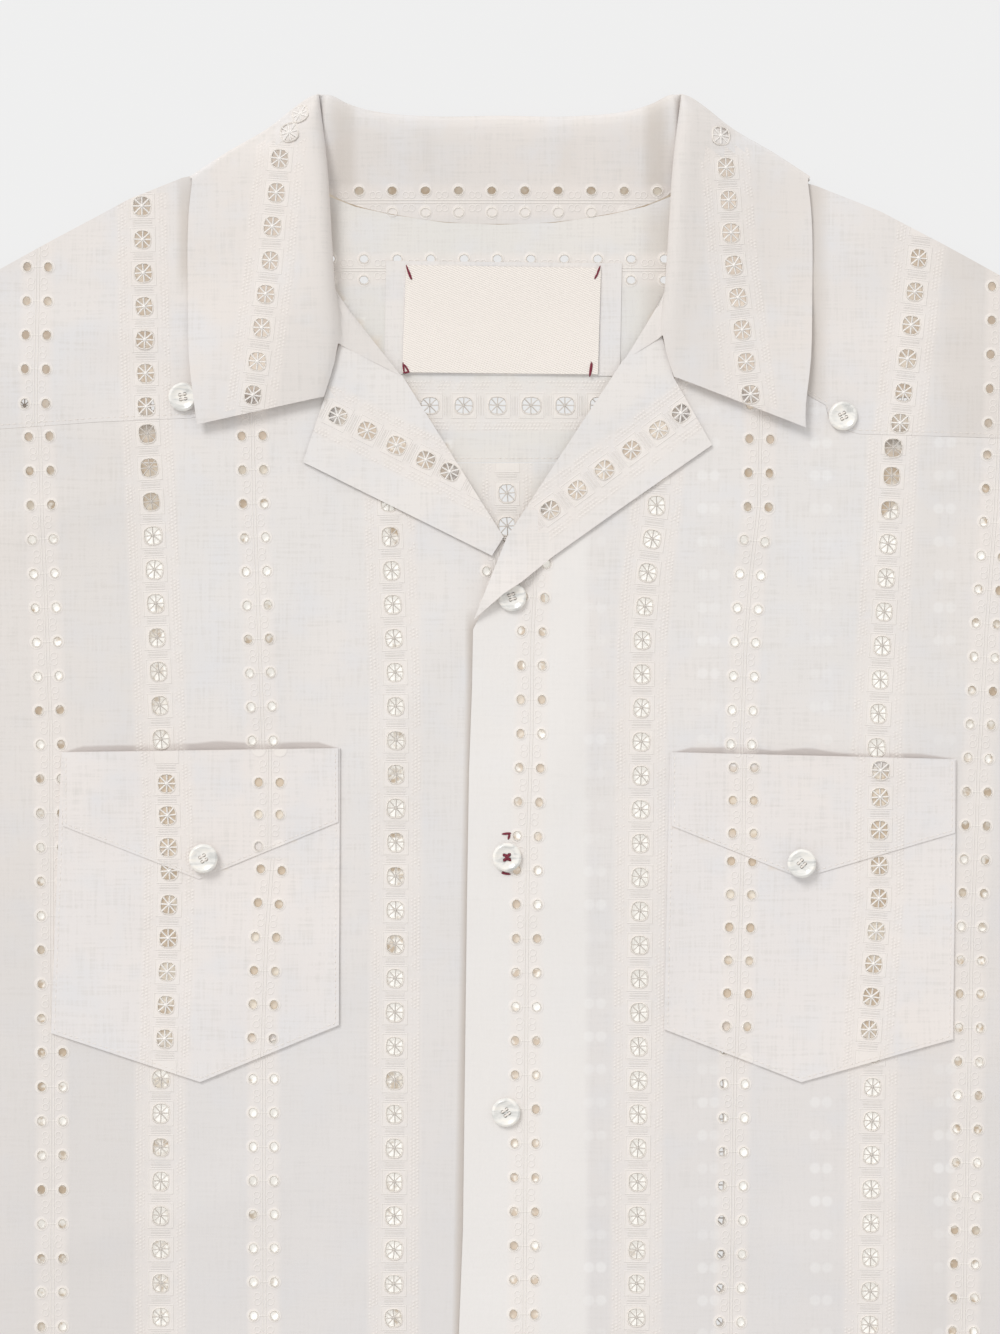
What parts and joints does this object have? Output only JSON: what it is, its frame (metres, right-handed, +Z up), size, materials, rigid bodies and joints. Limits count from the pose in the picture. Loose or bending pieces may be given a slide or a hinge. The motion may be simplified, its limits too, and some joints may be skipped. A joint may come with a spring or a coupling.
{
  "type": "short-sleeved camp-collar shirt laid flat",
  "caption": "Short-sleeved camp-collar shirt in cotton with columns of open eyelets, two chest pockets and pearl buttons, laid flat and buttoned.",
  "frame": {"origin": "on the surface that the shirt lies on, under the middle of its outline", "axes": "+X across the chest towards the wearer's left sleeve, +Y from the hem to the collar, +Z up from the surface, out of the shirt's front"},
  "size_m": [0.892, 0.7134, 0.0126],
  "materials": {
    "eyelet_cotton": "matte",
    "label_twill": "matte",
    "mother_of_pearl": "gloss"
  },
  "bodies": {
    "root": {"back_panel": "eyelet_cotton", "back_yoke": "eyelet_cotton", "collar": "eyelet_cotton", "front_left": "eyelet_cotton", "front_yoke_left": "eyelet_cotton", "sleeve_left_upper": "eyelet_cotton", "sleeve_left_under": "eyelet_cotton", "lapel_left": "eyelet_cotton", "pocket_left": "eyelet_cotton", "pocket_facing_left": "eyelet_cotton", "front_right": "eyelet_cotton", "front_yoke_right": "eyelet_cotton", "sleeve_right_upper": "eyelet_cotton", "sleeve_right_under": "eyelet_cotton", "lapel_right": "eyelet_cotton", "pocket_right": "eyelet_cotton", "pocket_facing_right": "eyelet_cotton", "neck_label": "label_twill", "front_button_1": "mother_of_pearl", "front_button_2": "mother_of_pearl", "front_button_3": "mother_of_pearl", "front_button_4": "mother_of_pearl", "front_button_5": "mother_of_pearl", "pocket_button_left": "mother_of_pearl", "pocket_button_right": "mother_of_pearl", "yoke_button_left": "mother_of_pearl", "yoke_button_right": "mother_of_pearl"}
  },
  "joints": []
}
